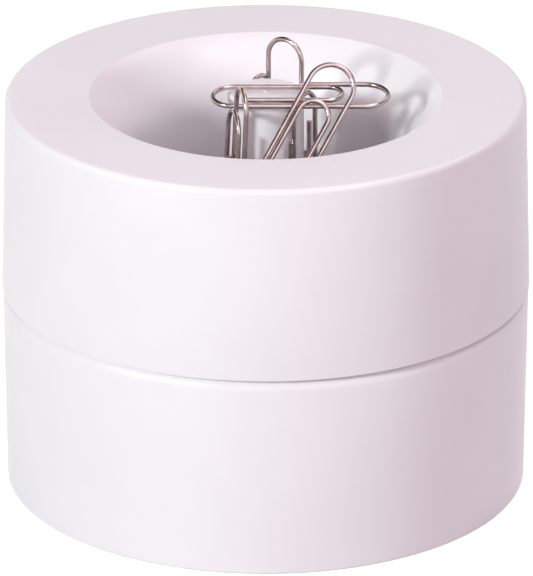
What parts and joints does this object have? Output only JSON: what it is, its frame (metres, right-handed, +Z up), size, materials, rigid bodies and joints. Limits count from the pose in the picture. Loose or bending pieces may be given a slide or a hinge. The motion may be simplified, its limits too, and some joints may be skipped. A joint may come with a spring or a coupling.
{
  "type": "magnetic paper clip holder",
  "caption": "Round desk holder for paper clips: a plastic cup, a lift-off ring with a funnel mouth, and a magnet post in the middle that holds wire clips.",
  "frame": {"origin": "centre of the holder's foot, on the surface that it stands on", "axes": "+Z up along the post, +X to the right and -Y towards the camera of the picture"},
  "size_m": [0.073, 0.073, 0.0624],
  "materials": {
    "white_plastic": "satin white injection-moulded polystyrene",
    "stopper_plastic": "plain moulded plastic",
    "magnet": "dark sintered ferrite",
    "clip_wire": "bright nickel-plated steel wire"
  },
  "bodies": {
    "base": {"base_cup": "white_plastic", "magnet_post": "white_plastic", "rod_magnet": "magnet", "magnet_stopper": "stopper_plastic"},
    "ring": {"funnel_ring": "white_plastic"},
    "lying_clip": {"paper_clip_lying": "clip_wire"},
    "leaning_clip": {"paper_clip_leaning": "clip_wire"},
    "front_clip": {"paper_clip_front": "clip_wire"},
    "left_clip": {"paper_clip_left": "clip_wire"},
    "tall_clip": {"paper_clip_tall": "clip_wire"},
    "rear_clip": {"paper_clip_rear": "clip_wire"},
    "right_clip": {"paper_clip_right": "clip_wire"}
  },
  "joints": [
    {"name": "ring_lift", "type": "slide", "parent": "base", "child": "ring", "axis": [0, 0, 1], "range_m": [0, 0.04]},
    {"name": "lying_clip_lift", "type": "slide", "parent": "base", "child": "lying_clip", "axis": [0, 0, 1], "range_m": [0, 0.03]},
    {"name": "leaning_clip_slide", "type": "slide", "parent": "lying_clip", "child": "leaning_clip", "axis": [0.4772, 0.4526, 0.7533], "range_m": [0, 0.02]},
    {"name": "front_clip_slide", "type": "slide", "parent": "base", "child": "front_clip", "axis": [0.0436, 0, 0.999], "range_m": [0, 0.03]},
    {"name": "left_clip_slide", "type": "slide", "parent": "base", "child": "left_clip", "axis": [0.0436, 0, 0.999], "range_m": [0, 0.03]},
    {"name": "tall_clip_lift", "type": "slide", "parent": "base", "child": "tall_clip", "axis": [0, 0, 1], "range_m": [0, 0.03]},
    {"name": "rear_clip_lift", "type": "slide", "parent": "base", "child": "rear_clip", "axis": [0, 0, 1], "range_m": [0, 0.03]},
    {"name": "right_clip_pull", "type": "slide", "parent": "base", "child": "right_clip", "axis": [0, 0, -1], "range_m": [0, 0.012]}
  ]
}
